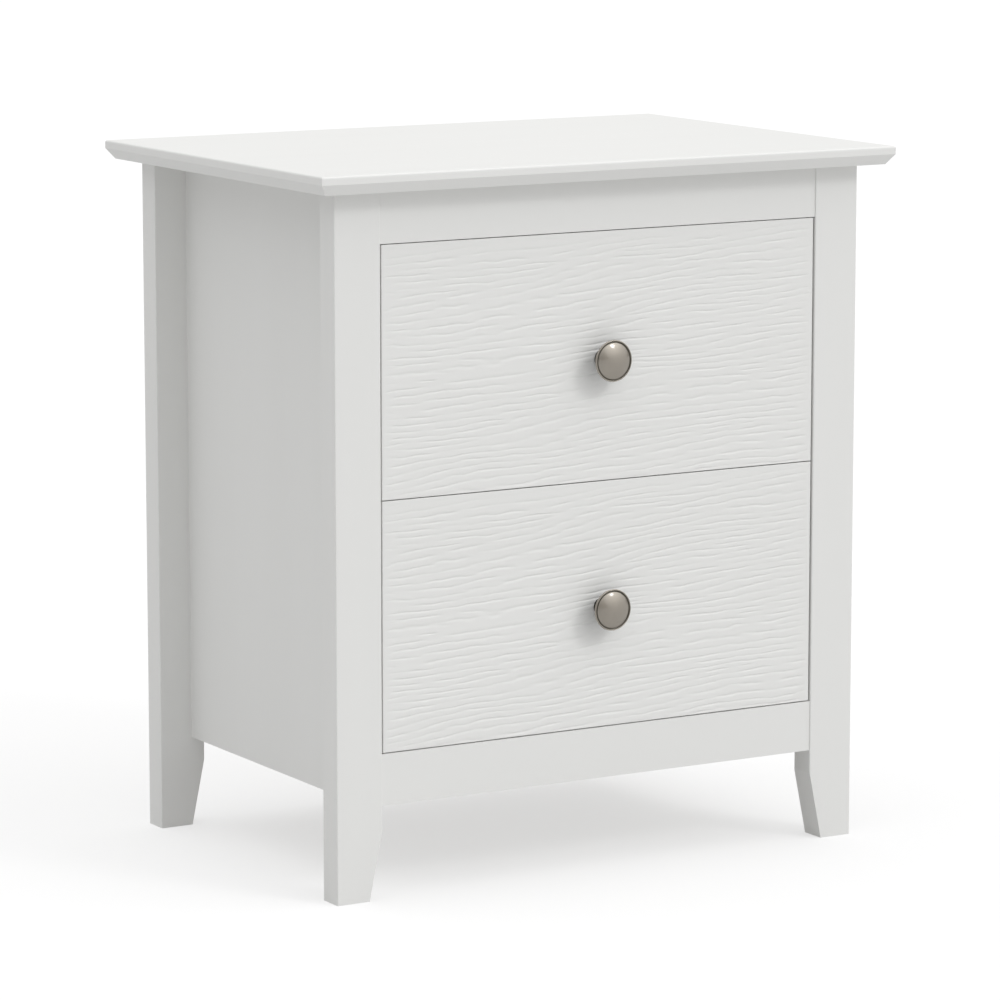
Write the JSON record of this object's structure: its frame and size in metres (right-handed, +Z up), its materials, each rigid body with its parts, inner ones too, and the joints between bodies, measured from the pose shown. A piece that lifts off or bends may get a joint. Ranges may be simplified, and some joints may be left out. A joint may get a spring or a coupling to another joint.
{
  "type": "nightstand with drawers",
  "caption": "White bedside table: overhanging top with undercut edge, board legs with tapered feet, stacked wave-grained drawers with round metal knobs.",
  "frame": {"origin": "on the floor, under the centre of the top panel", "axes": "+Z up, -Y towards the user, the way the drawers pull out, X across the fronts"},
  "size_m": [0.562, 0.399, 0.61],
  "materials": {
    "case_paint": "satin white paint on board",
    "front_paint": "satin white foil over a pressed wavy grain",
    "drawer_board": "clear-coated pale birch board",
    "thin_board": "white-faced thin fibreboard",
    "dowel_wood": "raw fluted beech",
    "knob_metal": "satin nickel, warm grey",
    "slide_steel": "bright zinc-plated rolled steel",
    "cage_steel": "pressed steel strip with polished balls",
    "fastener_zinc": "zinc-plated"
  },
  "bodies": {
    "case": {"back_panel": "thin_board", "bottom_front_rail": "case_paint", "bottom_rear_rail": "case_paint", "cam_bolts": "fastener_zinc", "cam_nuts": "fastener_zinc", "case_slide_screws": "fastener_zinc", "dowels": "dowel_wood", "front_leg_left": "case_paint", "front_leg_right": "case_paint", "lower_slide_outer_left": "slide_steel", "lower_slide_outer_right": "slide_steel", "rear_leg_left": "case_paint", "rear_leg_right": "case_paint", "side_panel_left": "case_paint", "side_panel_right": "case_paint", "top_front_rail": "case_paint", "top_panel": "case_paint", "top_rear_rail": "case_paint", "top_screws": "fastener_zinc", "upper_slide_outer_left": "slide_steel", "upper_slide_outer_right": "slide_steel"},
    "upper_drawer": {"upper_drawer_back": "drawer_board", "upper_drawer_bottom": "thin_board", "upper_drawer_box_screws": "fastener_zinc", "upper_drawer_cam_bolts": "fastener_zinc", "upper_drawer_cam_nuts": "fastener_zinc", "upper_drawer_front": "front_paint", "upper_drawer_side_left": "drawer_board", "upper_drawer_side_right": "drawer_board", "upper_drawer_slide_screws": "fastener_zinc", "upper_knob": "knob_metal", "upper_knob_screw": "fastener_zinc", "upper_slide_inner_left": "slide_steel", "upper_slide_inner_right": "slide_steel"},
    "upper_slide_middles": {"upper_slide_middle_left": "slide_steel", "upper_slide_middle_right": "slide_steel"},
    "upper_outer_cages": {"upper_outer_cage_left": "cage_steel", "upper_outer_cage_right": "cage_steel"},
    "upper_inner_cages": {"upper_inner_cage_left": "cage_steel", "upper_inner_cage_right": "cage_steel"},
    "lower_drawer": {"lower_drawer_back": "drawer_board", "lower_drawer_bottom": "thin_board", "lower_drawer_box_screws": "fastener_zinc", "lower_drawer_cam_bolts": "fastener_zinc", "lower_drawer_cam_nuts": "fastener_zinc", "lower_drawer_front": "front_paint", "lower_drawer_side_left": "drawer_board", "lower_drawer_side_right": "drawer_board", "lower_drawer_slide_screws": "fastener_zinc", "lower_knob": "knob_metal", "lower_knob_screw": "fastener_zinc", "lower_slide_inner_left": "slide_steel", "lower_slide_inner_right": "slide_steel"},
    "lower_slide_middles": {"lower_slide_middle_left": "slide_steel", "lower_slide_middle_right": "slide_steel"},
    "lower_outer_cages": {"lower_outer_cage_left": "cage_steel", "lower_outer_cage_right": "cage_steel"},
    "lower_inner_cages": {"lower_inner_cage_left": "cage_steel", "lower_inner_cage_right": "cage_steel"}
  },
  "joints": [
    {"name": "upper_drawer_slide", "type": "slide", "parent": "case", "child": "upper_drawer", "axis": [0, -1, 0], "range_m": [0, 0.3]},
    {"name": "upper_slide_middles_travel", "type": "slide", "parent": "case", "child": "upper_slide_middles", "axis": [0, -1, 0], "range_m": [0, 0.15]},
    {"name": "upper_outer_cages_travel", "type": "slide", "parent": "case", "child": "upper_outer_cages", "axis": [0, -1, 0], "range_m": [0, 0.075]},
    {"name": "upper_inner_cages_travel", "type": "slide", "parent": "case", "child": "upper_inner_cages", "axis": [0, -1, 0], "range_m": [0, 0.225]},
    {"name": "lower_drawer_slide", "type": "slide", "parent": "case", "child": "lower_drawer", "axis": [0, -1, 0], "range_m": [0, 0.3]},
    {"name": "lower_slide_middles_travel", "type": "slide", "parent": "case", "child": "lower_slide_middles", "axis": [0, -1, 0], "range_m": [0, 0.15]},
    {"name": "lower_outer_cages_travel", "type": "slide", "parent": "case", "child": "lower_outer_cages", "axis": [0, -1, 0], "range_m": [0, 0.075]},
    {"name": "lower_inner_cages_travel", "type": "slide", "parent": "case", "child": "lower_inner_cages", "axis": [0, -1, 0], "range_m": [0, 0.225]}
  ],
  "couplings": [
    {"joint": "upper_slide_middles_travel", "follows": "upper_drawer_slide", "ratio": 0.5},
    {"joint": "upper_outer_cages_travel", "follows": "upper_drawer_slide", "ratio": 0.25},
    {"joint": "upper_inner_cages_travel", "follows": "upper_drawer_slide", "ratio": 0.75},
    {"joint": "lower_slide_middles_travel", "follows": "lower_drawer_slide", "ratio": 0.5},
    {"joint": "lower_outer_cages_travel", "follows": "lower_drawer_slide", "ratio": 0.25},
    {"joint": "lower_inner_cages_travel", "follows": "lower_drawer_slide", "ratio": 0.75}
  ]
}
